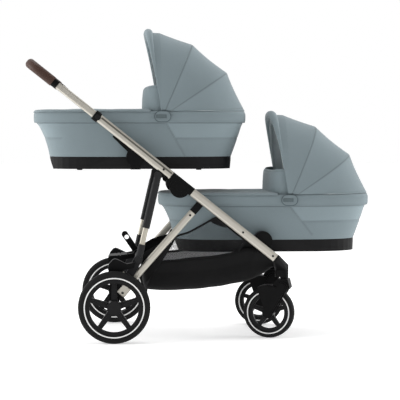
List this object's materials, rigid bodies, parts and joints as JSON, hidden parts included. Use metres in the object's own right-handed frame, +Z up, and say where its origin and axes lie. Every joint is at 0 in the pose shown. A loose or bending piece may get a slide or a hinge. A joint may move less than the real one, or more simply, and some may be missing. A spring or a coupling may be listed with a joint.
{
  "type": "twin pram",
  "caption": "Pram with carrycots one above the other on a folding frame with push handle, swivelling front wheels, larger rear wheels, hoods and a low basket.",
  "frame": {"origin": "on the ground, in the middle of the pram's length and width", "axes": "+X forward, +Y to the pram's left, +Z up"},
  "size_m": [1.3974, 0.642, 1.2559],
  "materials": {
    "tube": "champagne anodised, satin",
    "black_plastic": "fine grained moulding",
    "grey_plastic": "satin moulding",
    "leather": "dark brown stitched wrap",
    "cloth": "woven blue-grey melange",
    "basket_cloth": "woven black",
    "mesh": "grey net",
    "mattress": "knitted off-white cover",
    "tyre": "matt rubber with a pale side ring",
    "rim": "satin black moulding",
    "rod": "cream coat",
    "steel": "satin"
  },
  "bodies": {
    "front_frame": {"front_leg_right": "tube", "front_leg_left": "tube", "front_knee_right": "black_plastic", "front_knee_left": "black_plastic", "front_cross_tube": "black_plastic", "hinge_base_right": "black_plastic", "hinge_base_left": "black_plastic", "basket": "basket_cloth", "basket_mesh": "mesh", "frame_screws": "steel"},
    "upper_frame": {"upper_rail_right": "tube", "upper_rail_left": "tube", "hinge_head_right": "black_plastic", "hinge_head_left": "black_plastic", "rail_collar_right": "black_plastic", "rail_collar_left": "black_plastic", "strut_brackets": "black_plastic"},
    "handle": {"handle_bar": "tube", "handle_grip": "leather", "grip_ends": "black_plastic"},
    "button_right": {"push_button_right": "grey_plastic"},
    "button_left": {"push_button_left": "grey_plastic"},
    "rear_legs": {"rear_leg_right": "tube", "rear_leg_left": "tube", "leg_tops": "black_plastic", "leg_knuckle_right": "grey_plastic", "leg_knuckle_left": "grey_plastic", "rear_hub_right": "black_plastic", "rear_hub_left": "black_plastic", "rear_cross_tube": "black_plastic"},
    "struts": {"strut_sleeves": "black_plastic", "strut_rods": "rod"},
    "brake": {"brake_pedal": "black_plastic"},
    "catch": {"catch_lever": "black_plastic"},
    "rear_wheel_right": {"rear_tyre_right": "tyre", "rear_rim_right": "rim"},
    "rear_wheel_left": {"rear_tyre_left": "tyre", "rear_rim_left": "rim"},
    "caster_right": {"caster_fork_right": "black_plastic"},
    "caster_left": {"caster_fork_left": "black_plastic"},
    "front_wheel_right": {"front_tyre_right": "tyre", "front_rim_right": "rim"},
    "front_wheel_left": {"front_tyre_left": "tyre", "front_rim_left": "rim"},
    "upper_adapters_body": {"upper_adapters": "black_plastic"},
    "upper_cot": {"upper_cot_base": "black_plastic", "upper_cot_tub": "cloth", "upper_mattress": "mattress", "upper_apron": "cloth", "upper_canopy": "cloth"},
    "upper_mid_bow_body": {"upper_mid_bow": "steel"},
    "upper_front_bow_body": {"upper_front_bow": "steel"},
    "lower_adapters_body": {"lower_adapters": "black_plastic"},
    "lower_cot": {"lower_cot_base": "black_plastic", "lower_cot_tub": "cloth", "lower_mattress": "mattress", "lower_apron": "cloth", "lower_canopy": "cloth"},
    "lower_mid_bow_body": {"lower_mid_bow": "steel"},
    "lower_front_bow_body": {"lower_front_bow": "steel"}
  },
  "joints": [
    {"name": "frame_fold", "type": "hinge", "parent": "front_frame", "child": "upper_frame", "pos_m": [-0.08957, 0, 0.61236], "axis": [0, -1, 0], "range_deg": [0, 90], "deforming": ["basket", "basket_mesh"]},
    {"name": "rear_leg_fold", "type": "hinge", "parent": "front_frame", "child": "rear_legs", "pos_m": [0.00296, 0, 0.55921], "axis": [0, -1, 0], "range_deg": [0, 50]},
    {"name": "strut_fold", "type": "hinge", "parent": "upper_frame", "child": "struts", "pos_m": [-0.17724, 0, 0.66038], "axis": [0, -1, 0], "range_deg": [-55, 0]},
    {"name": "handle_extend", "type": "slide", "parent": "upper_frame", "child": "handle", "axis": [-0.7826, 0, 0.6225], "range_m": [-0.11, 0]},
    {"name": "button_right_press", "type": "slide", "parent": "upper_frame", "child": "button_right", "axis": [0, 1, 0], "range_m": [0, 0.0022], "stiffness_N_per_m": 500},
    {"name": "button_left_press", "type": "slide", "parent": "upper_frame", "child": "button_left", "axis": [0, -1, 0], "range_m": [0, 0.0022], "stiffness_N_per_m": 500},
    {"name": "brake_lift", "type": "hinge", "parent": "rear_legs", "child": "brake", "pos_m": [-0.25386, 0, 0.3287], "axis": [0, 1, 0], "range_deg": [0, 14]},
    {"name": "catch_turn", "type": "hinge", "parent": "rear_legs", "child": "catch", "pos_m": [-0.25386, 0, 0.3287], "axis": [0, 1, 0], "range_deg": [0, 25]},
    {"name": "rear_wheel_spin_right", "type": "hinge", "parent": "rear_legs", "child": "rear_wheel_right", "pos_m": [-0.35126, -0.295, 0.1425], "axis": [0, 1, 0], "continuous": true},
    {"name": "caster_swivel_right", "type": "hinge", "parent": "front_frame", "child": "caster_right", "pos_m": [0.33374, -0.192, 0.231], "axis": [0, 0, 1], "continuous": true},
    {"name": "front_wheel_spin_right", "type": "hinge", "parent": "caster_right", "child": "front_wheel_right", "pos_m": [0.27477, -0.17284, 0.1035], "axis": [0.309, 0.9511, 0], "continuous": true},
    {"name": "rear_wheel_spin_left", "type": "hinge", "parent": "rear_legs", "child": "rear_wheel_left", "pos_m": [-0.35126, 0.295, 0.1425], "axis": [0, 1, 0], "continuous": true},
    {"name": "caster_swivel_left", "type": "hinge", "parent": "front_frame", "child": "caster_left", "pos_m": [0.33374, 0.192, 0.231], "axis": [0, 0, 1], "continuous": true},
    {"name": "front_wheel_spin_left", "type": "hinge", "parent": "caster_left", "child": "front_wheel_left", "pos_m": [0.27234, 0.20063, 0.1035], "axis": [0.1392, 0.9903, 0], "continuous": true},
    {"name": "upper_adapter_lift", "type": "slide", "parent": "front_frame", "child": "upper_adapters_body", "axis": [0, 0, 1], "range_m": [0, 0.305]},
    {"name": "upper_cot_lift", "type": "slide", "parent": "upper_adapters_body", "child": "upper_cot", "axis": [0, 0, 1], "range_m": [0, 0.12]},
    {"name": "upper_hood_fold", "type": "hinge", "parent": "upper_cot", "child": "upper_mid_bow_body", "pos_m": [-0.15626, 0, 0.894], "axis": [0, 1, 0], "range_deg": [0, 28], "deforming": ["upper_canopy"]},
    {"name": "upper_front_bow_fold", "type": "hinge", "parent": "upper_mid_bow_body", "child": "upper_front_bow_body", "pos_m": [-0.15626, 0, 0.894], "axis": [0, 1, 0], "range_deg": [0, 31]},
    {"name": "lower_adapter_lift", "type": "slide", "parent": "front_frame", "child": "lower_adapters_body", "axis": [0, 0, 1], "range_m": [0, 0.305]},
    {"name": "lower_cot_lift", "type": "slide", "parent": "lower_adapters_body", "child": "lower_cot", "axis": [0, 0, 1], "range_m": [0, 0.06]},
    {"name": "lower_hood_fold", "type": "hinge", "parent": "lower_cot", "child": "lower_mid_bow_body", "pos_m": [0.35274, 0, 0.559], "axis": [0, 1, 0], "range_deg": [0, 28], "deforming": ["lower_canopy"]},
    {"name": "lower_front_bow_fold", "type": "hinge", "parent": "lower_mid_bow_body", "child": "lower_front_bow_body", "pos_m": [0.35274, 0, 0.559], "axis": [0, 1, 0], "range_deg": [0, 31]}
  ],
  "couplings": [
    {"joint": "rear_leg_fold", "follows": "frame_fold", "ratio": 0.5322},
    {"joint": "strut_fold", "follows": "frame_fold", "ratio": -0.5869},
    {"joint": "upper_adapter_lift", "follows": "frame_fold", "m_per_rad": 0.191},
    {"joint": "upper_front_bow_fold", "follows": "upper_hood_fold", "ratio": 1.07},
    {"joint": "lower_adapter_lift", "follows": "frame_fold", "m_per_rad": 0.191},
    {"joint": "lower_front_bow_fold", "follows": "lower_hood_fold", "ratio": 1.07}
  ]
}
